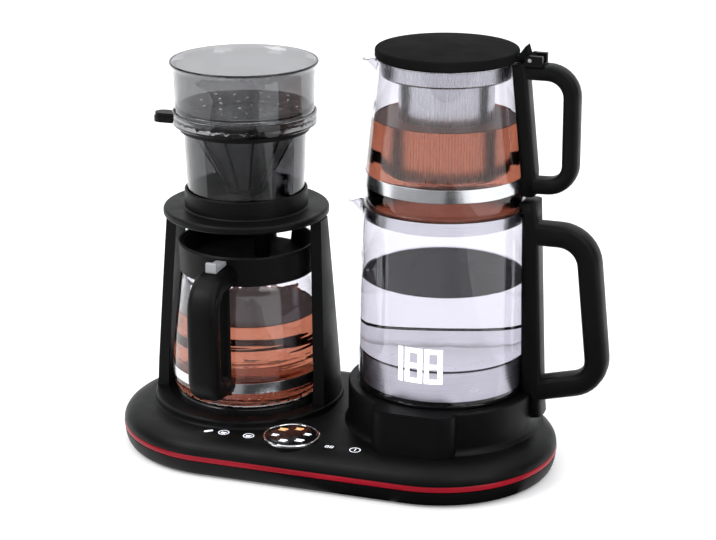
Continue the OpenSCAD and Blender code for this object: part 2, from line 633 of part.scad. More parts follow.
shower_rings = [6, 12, 18, 24];
module shower_plate() color("#4a4a4d") at_tower() difference() {
    translate([0, 0, tank_z + shower_z]) cylinder(h = 1.4, r = tank_r - clear_wall - fit_gap);
    for (k = [0:3]) for (i = [0:shower_rings[k] - 1]) rotate([0, 0, 360 * i / shower_rings[k] + k * 7])
        translate([9 * (k + 1), 0, tank_z + shower_z - cut]) cylinder(h = 3, r = 1.3, $fn = 16);
}

// ---- carafe ----

carafe_neck = carafe_neck_r - 3;
function carafe_skin(inset) = [
    [carafe_r - 7.5 - inset / 2, carafe_z + inset], [carafe_r - 3, carafe_z + 2.4 + inset * 0.6],
    [carafe_r - 0.6 - inset, carafe_z + 8], [carafe_r - inset, carafe_z + 13], [carafe_r - inset, carafe_z + 28],
    [carafe_r - 1.4 - inset, carafe_z + 48], [carafe_r - 4.2 - inset, carafe_z + 72],
    [carafe_neck_r + 0.9 - inset, carafe_top - 8], [carafe_neck_r - 0.4 - inset, carafe_top - 2],
    [carafe_neck - inset, carafe_top + 1], [carafe_neck - inset, carafe_floor - 1]];

module carafe_glass() color(clear) at_tower() rotate_extrude() polygon(concat([[0, carafe_z + 1.6],
    [carafe_r - 14, carafe_z + 1.2], [carafe_r - 11, carafe_z]], carafe_skin(0),
    [for (i = [len(carafe_skin(0)) - 1:-1:1]) carafe_skin(glass_wall)[i]],
    [[carafe_r - 9, carafe_z + 4], [0, carafe_z + 4.2]]));

module carafe_band() color(steel) at_tower() translate([0, 0, carafe_z + carafe_band_z]) difference() {
    rotate_extrude() polygon([[carafe_r + 0.06, 0], [carafe_r + 0.4, 0], [carafe_r + 0.5, 0.4],
        [carafe_r + 0.5, carafe_band_h - 0.4], [carafe_r + 0.4, carafe_band_h], [carafe_r + 0.06, carafe_band_h]]);
}

// the drip tube leaves the lid through this notch when the carafe is drawn out
module tube_notch() translate([tube_off - tube_r - 2, 0, carafe_floor + 3])
    cube([2 * tube_r + 4, 100, carafe_collar_h]);

module carafe_collar() color(matte_black) at_tower() difference() {
    rotate_extrude() polygon([[carafe_neck + fit_gap, collar_ring_z], [carafe_neck_r + 0.4, collar_ring_z],
        [carafe_neck_r + 1.4, collar_ring_z + 1.2], [carafe_neck_r + 1.4, carafe_rim - 1.2],
        [carafe_neck_r + 0.6, carafe_rim], [carafe_neck_r - 1.2, carafe_rim],
        [carafe_neck_r - 1.2, carafe_floor + 1], [carafe_neck + fit_gap, carafe_floor]]);
    tube_notch();
}

module carafe_lid() color(matte_black) at_tower() difference() {
    rotate_extrude() polygon([[0, carafe_floor], [carafe_neck - 2, carafe_floor], [carafe_neck + 0.6, carafe_floor + 2],
        [carafe_neck_r - 1.4, carafe_floor + 3], [carafe_neck_r - 1.4, carafe_rim - 2],
        [carafe_neck_r - 2, carafe_rim - 1.4], [carafe_neck_r - 3.2, carafe_rim - 1.4],
        [carafe_neck_r - 8, carafe_floor + 5], [22, carafe_floor + 2], [0, carafe_floor + 1.6]]);
    tube_notch();
    translate([tube_off, 0, carafe_floor - cut]) cylinder(h = 8, r = 4);
}

module carafe_handle() color(matte_black) at_tower() difference() {
    rotate([0, 0, -90]) {
        swept_bar(rounded_path([carafe_neck_r - 3, collar_ring_z + 10],
            [[[carafe_handle_reach - 9.5, collar_ring_z + 9], 21],
             [[carafe_handle_reach - 8.5, carafe_z + 30], 15]],
            [carafe_r + 2, carafe_z + 26]), 13.8, 9.5, 20);
        swept_bar([[carafe_r + 3.8, collar_ring_z + 8], [carafe_r + 3.8, carafe_z + 17]], 12, 2.4);
    }
    translate([0, 0, collar_ring_z]) cylinder(h = 200, r = carafe_neck_r + 1.4 + fit_gap);
    translate([0, 0, carafe_z - 10]) cylinder(h = carafe_h + 12 + cut, r = carafe_r + 1.1);
}

module carafe_lever() color("#a9abae") at_tower() rotate([0, 0, -90]) rotate([90, 0, 0])
    translate([0, 0, -4.75]) linear_extrude(9.5) polygon([
        [carafe_neck_r + 1.7, collar_ring_z + 20.2], [carafe_neck_r + 20.4, collar_ring_z + 19.8],
        [carafe_neck_r + 22, collar_ring_z + 19.2], [carafe_neck_r + 25, collar_ring_z + 19.2],
        [carafe_neck_r + 26, collar_ring_z + 20.4], [carafe_neck_r + 25.6, collar_ring_z + 27.4],
        [carafe_neck_r + 24.6, collar_ring_z + 28.4], [carafe_neck_r + 22.6, collar_ring_z + 28.4],
        [carafe_neck_r + 21.8, collar_ring_z + 27.4], [carafe_neck_r + 21.4, collar_ring_z + 24.4],
        [carafe_neck_r + 1.7, collar_ring_z + 23.6]]);

// ---- kettle ----

module nose_plan(grow = 0) {
    r = 16;
    x0 = -nose_w / 2 - 3;
    for (x = [x0 + r, x0 + nose_w - r]) translate([x, -nose_reach + r]) circle(r = r + grow);
    translate([x0 + r, -nose_reach - grow]) square([nose_w - 2 * r, nose_reach]);
    translate([x0 - grow, -nose_reach + r]) square([nose_w + 2 * grow, nose_reach - r]);
}

module kettle_plinth() color(matte_black) difference() {
    at_kettle() difference() {
        union() {
            rotate_extrude() polygon(concat([[0, base_top - 16], [plinth_r + 7, base_top - 16]],
                [for (i = [0:8]) let (a = 90 * i / 8) [plinth_r + 7 - 7 * sin(a), base_top - 1 + 7 * (1 - cos(a))]],
                ell(plinth_r - 2, plinth_top - 2, 2, 2, 0, 90, 5), [[0, plinth_top]]));
            translate([0, 0, base_top - 16]) linear_extrude(plinth_h + 15.2) nose_plan();
            translate([0, 0, base_top - 16]) linear_extrude(plinth_h + 16) nose_plan(-0.8);
        }
        translate([0, 0, plinth_top - pocket_depth]) cylinder(h = 10, r = kettle_r + 1);
        translate([0, 0, plinth_top - 9]) cylinder(h = 20, r = 19);
        translate([0, 0, base_top - 17]) cylinder(h = plinth_h - 4, r = 60);
    }
    base_outer();
}

module power_connector() color("#2a2a2c") at_kettle() difference() {
    rotate_extrude() polygon([[0, plinth_top - 9], [18.8, plinth_top - 9], [18.8, plinth_top - 7],
        [15.4, plinth_top - 6], [15, plinth_top + 8], [13.6, plinth_top + 9.6], [0, plinth_top + 9.6]]);
    translate([0, 0, plinth_top - 2]) difference() {
        cylinder(h = 20, r = 12.4);
        translate([0, 0, -cut]) cylinder(h = 22, r = 8.6);
    }
    translate([0, 0, plinth_top - 2]) cylinder(h = 20, r = 4);
}

cup_r = kettle_r - 1.2;
module kettle_cup() color(matte_black) at_kettle() rotate_extrude() polygon([
    [26, kettle_z], [cup_r - 1, kettle_z], [cup_r, kettle_z + 1], [cup_r, glass_z - 0.1],
    [kettle_r - glass_wall - 0.6, glass_z - 0.1], [kettle_r - glass_wall - 0.6, pan_z - 0.1],
    [kettle_r - glass_wall - 4, pan_z - 0.1], [kettle_r - glass_wall - 4, kettle_z + 2.4], [26, kettle_z + 2.4]]);

module kettle_socket() color("#39393c") at_kettle() rotate_extrude() polygon([
    [15.9, kettle_z + 0.4], [25.8, kettle_z + 0.4], [25.8, kettle_z + 2.4], [28.4, kettle_z + 2.5], [28.4, kettle_z + 4.4],
    [21, kettle_z + 5], [20.4, pan_floor_z - 0.4], [0, pan_floor_z - 0.4],
    [0, pan_floor_z - 2], [15.9, pan_floor_z - 2]]);

module kettle_heater() color("#8a8d91") at_kettle() {
    translate([0, 0, pan_floor_z - 3.5]) rotate_extrude() translate([48, 0]) circle(r = 3.3, $fn = 24);
}

liner_r = kettle_r - glass_wall - 0.9;
module kettle_pan() color(steel) at_kettle() rotate_extrude() polygon([
    [0, pan_floor_z], [liner_r - 4, pan_floor_z], [liner_r - 1, pan_floor_z - 2], [liner_r - 0.8, pan_z],
    [liner_r, pan_z], [liner_r - 0.05, pan_wall_top], [liner_r - 0.9, pan_wall_top],
    [liner_r - 1, pan_floor_z + 3], [liner_r - 3.4, pan_floor_z + 0.9], [0, pan_floor_z + 0.9]]);

module kettle_gasket() color(rubber) at_kettle() rotate_extrude() polygon([
    [liner_r - 1.6, pan_wall_top + 0.02], [liner_r + 0.2, pan_wall_top + 0.02], [liner_r + 0.2, pan_wall_top + 1.6],
    [liner_r - 1.2, pan_wall_top + 1.6]]);

function kettle_wall(z) = kettle_r + (kettle_rim_r - kettle_r) * (z - glass_z) / kettle_h;

// A vessel of revolution with a pouring beak on its -X side. The beak is a leaning cone
// that swells out of the wall, cut off along a lip that falls from the rim to the tip.
beak_opening = 38;
module beaked_vessel(outer, inner, rim_radius, rim_height, tip_reach, tip_height, beak_depth) {
    start = [3 - rim_radius, rim_height - beak_depth];
    lean = atan((tip_reach + start[0]) / (tip_height - start[1])) - beak_opening;
    module beak_cone(wall, len) let (in = wall / sin(beak_opening))
        translate([start[0] - in * sin(lean), 0, start[1] + in * cos(lean)]) rotate([0, -lean, 0])
            cylinder(h = len, r1 = 0, r2 = len * tan(beak_opening));
    difference() {
        union() {
            rotate_extrude() polygon(outer);
            intersection() {
                beak_cone(0, 2 * beak_depth);
                rotate([90, 0, 0]) translate([0, 0, -beak_depth]) linear_extrude(2 * beak_depth) polygon([
                    [start[0] + 9, start[1]], [start[0] + 9, rim_height], [start[0] - 2, rim_height],
                    [-tip_reach, tip_height], [-tip_reach, start[1]]]);
            }
        }
        rotate_extrude() polygon(inner);
        beak_cone(beak_wall, 3 * beak_depth);
    }
}

module kettle_glass() color(clear) at_kettle() beaked_vessel(
    [[0, glass_z], [kettle_r - 0.4, glass_z], [kettle_r, glass_z + 0.4],
     [kettle_rim_r, kettle_rim - 0.6], [kettle_rim_r - 0.6, kettle_rim], [0, kettle_rim]],
    [[0, glass_z - cut], [kettle_r - glass_wall, glass_z - cut], [kettle_rim_r - glass_wall, kettle_rim + cut],
     [0, kettle_rim + cut]],
    kettle_rim_r, kettle_rim, kettle_beak, kettle_rim - kettle_lip_drop, 25);

module seat_ring() color(steel) at_kettle() rotate_extrude() polygon([
    [teapot_r - 8, kettle_rim - seat_h + 2.2], [teapot_r - 7, kettle_rim - seat_h + 1.2],
    [kettle_rim_r - glass_wall - 0.5, kettle_rim - seat_h + 1.2], [kettle_rim_r - glass_wall - 0.2, kettle_rim - 0.4],
    [teapot_r - 1.5, kettle_rim], [teapot_r - 3.35, teapot_z + 4.4], [teapot_r - 7.75, teapot_z + 0.75],
    [teapot_r - 8, teapot_z + 0.6]]);

module kettle_handle() color(matte_black) at_kettle() difference() {
    union() {
        swept_bar([[kettle_rim_r + 2.2, kettle_rim + 7], [kettle_rim_r + 2.8, kettle_rim - 4],
                   [kettle_r + 8, glass_z - 10], [kettle_r + 9.4, glass_z - 24]], 13, 9.4, 16, 0.5);
        swept_bar(kettle_loop, 12, kettle_grip / 2);
    }
    rotate_extrude() polygon([[0, glass_z - 60], [plinth_r + 0.7, glass_z - 60], [plinth_r + 0.7, plinth_top + 0.6],
        [kettle_r + fit_gap, plinth_top + 0.6], [kettle_r + fit_gap, glass_z], [kettle_rim_r + fit_gap, kettle_rim],
        [teapot_r + 1.2, kettle_rim + 0.2], [teapot_r + 1.2, kettle_rim + 30], [0, kettle_rim + 30]]);
    translate([0, 0, kettle_rim + 7]) translate([50, -30, 0]) cube([60, 60, 20]);
}

// one digit of plain bars: which of the seven bars are lit is given as a list
module digit(bars) {
    w = digit_h * 0.5;
    t = digit_h * 0.13;
    h = digit_h;
    places = [[0, h - t, w, t], [w - t, h / 2, t, h / 2], [w - t, 0, t, h / 2], [0, 0, w, t], [0, 0, t, h / 2],
              [0, h / 2, t, h / 2], [0, h / 2 - t / 2, w, t]];
    for (b = bars) translate([places[b][0], places[b][1]]) square([places[b][2], places[b][3]]);
}

display_z = pan_wall_top - 9;
module temperature_display() color("#f4f6f8") at_kettle() intersection() {
    rotate_extrude() polygon([[kettle_wall(display_z - 5) + 0.05, display_z - 5],
        [kettle_wall(display_z - 5) + 0.35, display_z - 5],
        [kettle_wall(display_z + 40) + 0.35, display_z + 40], [kettle_wall(display_z + 40) + 0.05, display_z + 40]]);
    rotate([90, 0, 0]) linear_extrude(kettle_r + 10) translate([1.6, display_z]) {
        translate([-digit_h * 0.66, 0]) digit([4, 5]);
        translate([-digit_h * 0.46, 0]) digit([0, 1, 2, 3, 4, 5, 6]);
        translate([digit_h * 0.1, 0]) digit([0, 1, 2, 3, 4, 5, 6]);
    }
}

// ---- teapot ----

function teapot_skin(inset) = [
    [teapot_r - 13 - inset / 3, teapot_z + inset], [teapot_r - 8, teapot_z + 1 + inset],
    [teapot_r - 3.6 - inset * 0.8, teapot_z + 4.6 + inset * 0.4], [teapot_r - 1.4 - inset, teapot_z + 9.6],
    [teapot_r - 0.5 - inset, teapot_z + 17.6], [teapot_r - inset, teapot_z + 25], [teapot_r - inset, belly_z],
    [teapot_rim_r - inset, teapot_rim]];

module teapot_glass() color(clear) at_kettle() beaked_vessel(
    concat([[0, teapot_z]], teapot_skin(0), [[0, teapot_rim]]),
    concat([[0, teapot_z + glass_wall]], teapot_skin(glass_wall),
        [[teapot_rim_r - glass_wall, teapot_rim + cut], [0, teapot_rim + cut]]),
    teapot_rim_r, teapot_rim, teapot_beak, teapot_rim - teapot_lip_drop, 22);

module teapot_band() color(steel) at_kettle() translate([0, 0, teapot_z + teapot_band_z]) rotate_extrude()
    polygon([[teapot_r + 0.06, 0], [teapot_r + 0.4, 0], [teapot_r + 0.5, 0.5], [teapot_r + 0.5, teapot_band_h - 0.5],
        [teapot_r + 0.4, teapot_band_h], [teapot_r + 0.06, teapot_band_h]]);

bracket_z = lid_z - 1;
teapot_bar = teapot_reach - teapot_grip / 2;
module teapot_handle() color(matte_black) at_kettle() difference() {
    union() {
        swept_bar([[teapot_rim_r + 4.6, teapot_rim + 2], [teapot_r + 5.2, belly_z + 4], [teapot_r + 5, teapot_z + 21]],
            11, 7, 16, 0.5);
        swept_bar(rounded_path([teapot_rim_r + 6, teapot_rim - 5.2],
            [[[teapot_bar - 0.4, teapot_rim - 5.2], 21], [[teapot_bar + 0.4, teapot_z + 30.4], 19]],
            [teapot_r + 6, teapot_z + 29.4]), 9.5, teapot_grip / 2);
    }
    rotate_extrude() polygon([[0, teapot_z], [teapot_r + 0.7, teapot_z], [teapot_r + 0.7, belly_z + 0.4],
        [teapot_rim_r + fit_gap, teapot_rim + 0.1], [lid_r + 0.8, teapot_rim + 0.1],
        [lid_r + 0.8, teapot_rim + 30], [0, teapot_rim + 30]]);
    translate([40, -30, bracket_z - 0.1]) cube([46, 60, 20]);
}

ear_gap = 6.3;
module lid_bracket() color(matte_black) at_kettle() difference() {
    union() {
        translate([lid_r + 2.4, -11, bracket_z]) cube([84.8 - lid_r - 2.4, 22, 1.6]);
        for (s = [-1, 1]) translate([0, s * (ear_gap + 2.35), 0]) rotate([90, 0, 0]) translate([0, 0, -2.35])
            linear_extrude(4.7) {
                translate([pin_x, pin_z]) circle(r = 4, $fn = 48);
                translate([pin_x - 4, bracket_z]) square([14.8, pin_z - bracket_z]);
                translate([pin_x, bracket_z]) square([10.8, 9]);
            }
    }
    translate([pin_x, 20, pin_z]) rotate([90, 0, 0]) cylinder(h = 40, r = pin_r + fit_gap, $fn = 48);
}

module lid_pin() color(steel) at_kettle() translate([pin_x, 10.6, pin_z]) rotate([90, 0, 0])
    cylinder(h = 21.2, r = pin_r, $fn = 48);

module teapot_lid() color(matte_black) at_kettle() difference() {
    union() {
        rotate_extrude() polygon(concat([[0, lid_z + 0.3], [lid_r - 1.4, lid_z + 0.3]],
            ell(lid_r - 2.4, lid_z + 2.5, 2.4, 2.2, -50, 0, 4),
            ell(lid_r - 2.4, lid_z + lid_h - 4.2, 2.4, 2.4, 0, 70, 5),
            ell(0, lid_z + lid_h - 14, 113, 14, 60, 90, 10)));
        difference() {
            rotate([90, 0, 0]) translate([0, 0, -5.9]) linear_extrude(11.8) {
                translate([pin_x, pin_z]) circle(r = knuckle_r, $fn = 48);
                polygon([[lid_r - 8, lid_z + 1], [pin_x - 2, lid_z + 1.6], [pin_x, pin_z + knuckle_r],
                         [lid_r - 3, lid_z + 6.4]]);
                polygon([[lid_r + 1, lid_z + 6], [pin_x - 1, lid_z + 6], [pin_x - 4.2, pin_z + 11.4],
                         [pin_x - 5.4, pin_z + 10.4]]);
            }
            translate([0, 0, lid_z - 5]) cylinder(h = 8, r = lid_r - 6);
        }
    }
    translate([pin_x, 20, pin_z]) rotate([90, 0, 0]) cylinder(h = 40, r = pin_r + run_gap, $fn = 48);
}

module lid_gasket() color(rubber) at_kettle() rotate_extrude() polygon([
    [teapot_rim_r - glass_wall - 6, lid_z - 3], [teapot_rim_r - glass_wall - 3.4, lid_z - 3],
    [teapot_rim_r - glass_wall - 3, lid_z + 0.2], [teapot_rim_r - glass_wall - 7, lid_z + 0.2]]);

basket_ring_r = teapot_rim_r - glass_wall - 0.9;
basket_step = teapot_rim - 14;
basket_low = teapot_rim - basket_depth;
module infuser_basket() color(steel) at_kettle() difference() {
    rotate_extrude() polygon([[0, basket_low], [basket_r - 3, basket_low], [basket_r - 0.6, basket_low + 1],
        [basket_r, basket_low + 3], [basket_r, basket_step - 1], [basket_r + 1, basket_step],
        [basket_ring_r - 1.4, basket_step + 0.2], [basket_ring_r, basket_step + 1.8],
        [basket_ring_r, teapot_rim + 0.1], [teapot_rim_r - 0.4, teapot_rim + 0.1], [teapot_rim_r - 0.4, teapot_rim + 0.7],
        [basket_ring_r - 1, teapot_rim + 0.7], [basket_ring_r - 1, basket_step + 2],
        [basket_ring_r - 2, basket_step + 1.2], [basket_r - 1, basket_step + 1], [basket_r - 1, basket_low + 3.2],
        [basket_r - 1.4, basket_low + 1.6], [basket_r - 3.4, basket_low + 1], [0, basket_low + 1]]);
    for (row = [0:1]) for (i = [0:basket_slots - 1]) rotate([0, 0, 360 * i / basket_slots])
        translate([basket_r - 3, -0.45, basket_low + 8 + row * 24]) cube([6, 0.9, 20]);
}

base_shell();
trim_band();
base_pan();
rubber_feet();
base_screws();
cord_gland();
control_board();
selector_encoder();
selector_bezel();
selector_dial();
key_cap(0);  // key_1
key_cap(1);  // key_2
key_cap(2);  // key_3
key_cap(3);  // key_4
indicator_lens();
tower_foot();
left_post();
right_post();
tower_collar();
drip_guide();
drip_tube();
drip_spring();
warming_plate();
plate_heater();
dripper_body();
dripper_tab();
filter_frame();
filter_mesh();
tank_shell();
shower_plate();
carafe_glass();
carafe_band();
carafe_collar();
carafe_lid();
carafe_handle();
carafe_lever();
kettle_plinth();
power_connector();
kettle_cup();
kettle_socket();
kettle_heater();
kettle_pan();
kettle_gasket();
kettle_glass();
kettle_handle();
seat_ring();
temperature_display();
teapot_glass();
teapot_band();
teapot_handle();
lid_bracket();
lid_pin();
teapot_lid();
infuser_basket();
lid_gasket();
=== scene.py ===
import json
import math

import bpy
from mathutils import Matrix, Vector

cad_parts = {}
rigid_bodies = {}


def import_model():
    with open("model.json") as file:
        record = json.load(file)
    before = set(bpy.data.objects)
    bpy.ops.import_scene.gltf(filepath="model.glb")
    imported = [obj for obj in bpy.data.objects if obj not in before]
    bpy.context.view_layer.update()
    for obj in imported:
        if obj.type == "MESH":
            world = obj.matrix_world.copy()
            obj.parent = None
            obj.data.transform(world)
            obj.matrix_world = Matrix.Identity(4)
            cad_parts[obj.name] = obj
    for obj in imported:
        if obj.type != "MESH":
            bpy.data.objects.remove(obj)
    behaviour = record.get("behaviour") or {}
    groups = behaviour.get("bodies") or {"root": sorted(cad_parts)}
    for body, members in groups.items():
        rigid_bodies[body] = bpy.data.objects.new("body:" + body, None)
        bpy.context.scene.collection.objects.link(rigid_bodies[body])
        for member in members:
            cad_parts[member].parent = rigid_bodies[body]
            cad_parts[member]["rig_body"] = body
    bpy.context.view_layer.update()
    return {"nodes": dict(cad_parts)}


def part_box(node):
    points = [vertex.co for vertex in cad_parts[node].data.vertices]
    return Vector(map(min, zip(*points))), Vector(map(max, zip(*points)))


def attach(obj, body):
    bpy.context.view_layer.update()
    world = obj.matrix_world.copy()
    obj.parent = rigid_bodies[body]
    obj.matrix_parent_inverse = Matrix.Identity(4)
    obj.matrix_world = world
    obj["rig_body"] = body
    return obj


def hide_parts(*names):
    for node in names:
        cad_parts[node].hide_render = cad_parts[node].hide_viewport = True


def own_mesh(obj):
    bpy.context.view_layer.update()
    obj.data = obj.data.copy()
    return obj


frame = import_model()
nodes = frame["nodes"]
mm = 0.001

# The studio: a pale floor that runs out of sight, a soft sky with two bright strips and
# dark flags at the sides, as glassware is lit, and the camera at the photograph's angle.
camera_turn, camera_tilt, camera_distance = math.radians(18.46), math.radians(18.52), 1.7652
camera_target = Vector((-0.00559, 0.0115, 0.16718))
camera_back = Vector((math.sin(camera_turn) * math.cos(camera_tilt),
                      -math.cos(camera_turn) * math.cos(camera_tilt), math.sin(camera_tilt)))
bpy.ops.object.camera_add(location=camera_target + camera_back * camera_distance)
camera = bpy.context.object
camera.rotation_euler = camera_back.to_track_quat("Z", "Y").to_euler()
camera.data.lens = 99.74
camera.data.sensor_fit = "HORIZONTAL"
camera.data.sensor_width = 36
camera.data.clip_end = 100
bpy.context.scene.camera = camera
bpy.context.scene.view_settings.view_transform = "Standard"


class Value:
    """A socket of a shader, with Python's operators adding its Math nodes."""

    def __init__(self, tree, socket=None):
        self.tree, self.socket = tree, socket

    def node(self, kind, settings=(), inputs=(), out=0):
        """a new node of the same tree, as the value of one of its outputs"""
        made = self.tree.nodes.new(kind)
        for name, setting in dict(settings).items():
            setattr(made, name, setting)
        for name, given in dict(inputs).items():
            if isinstance(given, Value):
                self.tree.links.new(given.socket, made.inputs[name])
            else:
                made.inputs[name].default_value = given
        return Value(self.tree, made.outputs[out])

    def math(self, operation, *values):
        return self.node("ShaderNodeMath", {"operation": operation}, enumerate(values))

    def __add__(self, other):
        return self.math("ADD", self, other)

    def __sub__(self, other):
        return self.math("SUBTRACT", self, other)

    def __rsub__(self, other):
        return self.math("SUBTRACT", other, self)

    def __mul__(self, other):
        return self.math("MULTIPLY", self, other)

    def step(self, start, end):
        """0 below start, 1 above end, and smooth between them"""
        return self.node("ShaderNodeMapRange", {"interpolation_type": "SMOOTHSTEP"},
                         {"Value": self, "From Min": start, "From Max": end})

    def between(self, low, high):
        """a colour or number from low, where this is 0, to high, where it is 1"""
        if isinstance(low, tuple):
            return self.node("ShaderNodeMix", {"data_type": "RGBA"},
                             {0: self, 6: low + (1,), 7: high + (1,)}, out=2)
        return self * (high - low) + low

    def axes(self):
        """the X, Y and Z of this vector"""
        split = self.node("ShaderNodeSeparateXYZ", (), {0: self})
        return [Value(self.tree, split.socket.node.outputs[k]) for k in range(3)]


world = bpy.data.worlds.new("studio_sky")
world.use_nodes = True
bpy.context.scene.world = world
sky = Value(world.node_tree)
sky_x, sky_y, sky_z = sky.node("ShaderNodeTexCoord", out="Generated").axes()
# Bearings are measured in radians from the direction behind the camera.
left_strip, right_strip, side_flags = 0.9, 0.85, 1.65
left_power, right_power, overhead_power = 1.7, 1.3, 1.2
front_light, back_light, flag_depth = 0.3, 1.0, 0.9
side = sky_x * math.cos(camera_turn) + sky_y * math.sin(camera_turn)
away = sky_y * math.cos(camera_turn) - sky_x * math.sin(camera_turn)
bearing = sky.math("ARCTAN2", side, away * -1)
strip_left = sky.math("ABSOLUTE", bearing + left_strip).step(0.26, 0.16)
strip_right = sky.math("ABSOLUTE", bearing - right_strip).step(0.18, 0.1)
flags = sky.math("ABSOLUTE", sky.math("ABSOLUTE", bearing) - side_flags).step(0.62, 0.32)
low_down = sky_z.step(0.62, 0.4)
backdrop = away.step(-0.15, 0.35)
strips = strip_left * left_power + strip_right * right_power
light = backdrop.between(front_light, back_light) * (1 - flags * low_down * flag_depth)
light = light + strips * low_down * sky_z.step(-0.05, 0.05)
light = light + sky_z.step(0.55, 0.85) * overhead_power
background = world.node_tree.nodes["Background"]
world.node_tree.links.new(light.socket, background.inputs["Strength"])
background.inputs["Color"].default_value = (0.97, 0.98, 1.0, 1)

floor_radius, floor_drop = 9, 0.2 * mm
bpy.ops.mesh.primitive_circle_add(vertices=64, radius=floor_radius, fill_type="NGON",
                                  location=(0, 0, -floor_drop))
floor = bpy.context.object
floor.name = "floor"
paper = bpy.data.materials.new("floor_paper")
paper.use_nodes = True
paper_shader = paper.node_tree.nodes["Principled BSDF"]
paper_shader.inputs["Base Color"].default_value = (0.86, 0.86, 0.86, 1)
paper_shader.inputs["Roughness"].default_value = 0.9
paper_shader.inputs["Emission Color"].default_value = (1, 1, 1, 1)
paper_shader.inputs["Emission Strength"].default_value = 0.2
floor.data.materials.append(paper)

# Cards on the floor in front, below the picture: upright steel and black plastic mirror
# them as a dark middle between bright edges. Only reflections show them.
towards = Vector((math.sin(camera_turn), -math.cos(camera_turn), 0))
across = Vector((math.cos(camera_turn), math.sin(camera_turn), 0))
for card_name, shade, lift, middle, width, start_at, long in (
        ("grey_card", 0.22, 0.4 * mm, -0.32, 1.5, 0.12, 2.2),
        ("dark_card", 0.015, 0.8 * mm, 0.16, 0.26, 0.1, 2.2),
        ("low_dark_card", 0.015, 0.8 * mm, -0.05, 0.15, 0.1, 0.4)):
    place = across * middle + towards * (start_at + long / 2)
    place.z = lift
    bpy.ops.mesh.primitive_plane_add(size=1, location=place, rotation=(0, 0, camera_turn))
    card = bpy.context.object
    card.name, card.scale = card_name, (width, long, 1)
    card.visible_camera = card.visible_diffuse = False
    card.visible_transmission = card.visible_shadow = False
    card_paper = bpy.data.materials.new(card_name)
    card_paper.use_nodes = True
    card_shader = card_paper.node_tree.nodes["Principled BSDF"]
    card_shader.inputs["Base Color"].default_value = (shade, shade, shade, 1)
    card_shader.inputs["Roughness"].default_value = 0.95
    card.data.materials.append(card_paper)

# Two soft lamps, the stronger one high on the left.
for lamp_name, spot, size, power in (
        ("key_softbox", (-1.3, -1.2, 1.9), 1.1, 24),
        ("fill_softbox", (1.6, -1.0, 1.5), 1.2, 12)):
    bpy.ops.object.light_add(type="AREA", location=spot)
    lamp = bpy.context.object
    lamp.name = lamp_name
    lamp.data.size, lamp.data.energy = size, power
    lamp.rotation_euler = (lamp.location - camera_target).to_track_quat("Z", "Y").to_euler()


# The base: a long low housing of satin black ABS with a spark-eroded grain, moulded in
# one piece and closed below by a pan on six screws, with four rubber feet.
def new_finish(name, constants):
    """a new material, its shader and the object coordinates that its pattern reads"""
    material = bpy.data.materials.new(name)
    material.use_nodes = True
    shader = material.node_tree.nodes["Principled BSDF"]
    for socket, value in constants.items():
        shader.inputs[socket].default_value = value
    return material, shader, Value(material.node_tree).node("ShaderNodeTexCoord", out="Object")


def wire(shader, socket, value):
    """lets a varying value drive one input of a shader"""
    shader.id_data.links.new(value.socket, shader.inputs[socket])


def grain(place, scale, detail, stretch=(1, 1, 1)):
    """noise of a given number of waves a metre"""
    placed = place.node("ShaderNodeMapping", (), {"Vector": place, "Scale": stretch})
    return place.node("ShaderNodeTexNoise", (), {"Vector": placed, "Scale": scale, "Detail": detail})


def bump(shader, height, strength, distance):
    """raises a pattern on a surface; distance is in metres"""
    wire(shader, "Normal", height.node("ShaderNodeBump", (), {
        "Height": height, "Strength": strength, "Distance": distance}))


def moulded(name, dark, pale, smooth, rough, depth=0.00004, constants=()):
    """moulded plastic: eroded grain, faint cloudiness and roughness that wanders with handling"""
    material, shader, place = new_finish(name, dict({"Specular IOR Level": 0.13}, **dict(constants)))
    cloud = grain(place, 18, 3).step(0.35, 0.7)
    wire(shader, "Base Color", cloud.between(dark, pale))
    wire(shader, "Roughness", grain(place, 45, 4).step(0.3, 0.75).between(smooth, rough))
    bump(shader, grain(place, 2600, 2) + grain(place, 900, 1) * 0.5, 0.35, depth)
    return material


def paint(node_names, material):
    """gives CAD nodes their finish"""
    for name in node_names:
        slots = nodes[name].material_slots
        for slot in slots:
            slot.link = "DATA"
            slot.material = material
        if not slots:
            nodes[name].data.materials.append(material)


black_satin = moulded("black_satin_plastic", (0.0026, 0.0026, 0.0028), (0.0038, 0.0038, 0.0041), 0.4, 0.5)
lid_satin = moulded("lid_satin_plastic", (0.006, 0.006, 0.0062), (0.0085, 0.0085, 0.0088), 0.55, 0.65,
                    constants={"Specular IOR Level": 0.01})
rubber = moulded("black_rubber", (0.012, 0.012, 0.012), (0.02, 0.02, 0.02), 0.7, 0.85, 0.00008)
paint(["base_shell", "base_pan"], black_satin)
paint(["rubber_feet", "cord_gland"], rubber)

# The trim band: a crimson strip of lacquered plastic, pressed into the groove that runs
# round the base at the height of its widest part.
crimson = moulded("crimson_lacquer", (0.24, 0.002, 0.01), (0.32, 0.003, 0.014), 0.3, 0.42, 0.00002,
                  {"Coat Weight": 0.12, "Coat Roughness": 0.2})
paint(["trim_band"], crimson)


# The screws and other steel parts: plain turned or brushed stainless steel, with fine
# lines that run round the axis that each piece was turned on.
def brushed(name, tint, smooth, rough):
    """steel with level brush lines, so fine that they only show as a sheen"""
    material, shader, place = new_finish(name, {"Metallic": 1.0})
    streak = grain(place, 1, 3, (30, 30, 5200))
    darker = tuple(c * 0.82 for c in tint)
    wire(shader, "Base Color", streak.step(0.3, 0.7).between(darker, tint))
    wear = streak * 0.6 + grain(place, 60, 3) * 0.4
    wire(shader, "Roughness", wear.step(0.3, 0.7).between(smooth, rough))
    bump(shader, streak, 0.4, 0.000012)
    return material


steel = brushed("brushed_steel", (0.66, 0.67, 0.7), 0.2, 0.32)
paint(["base_screws", "lid_pin"], steel)

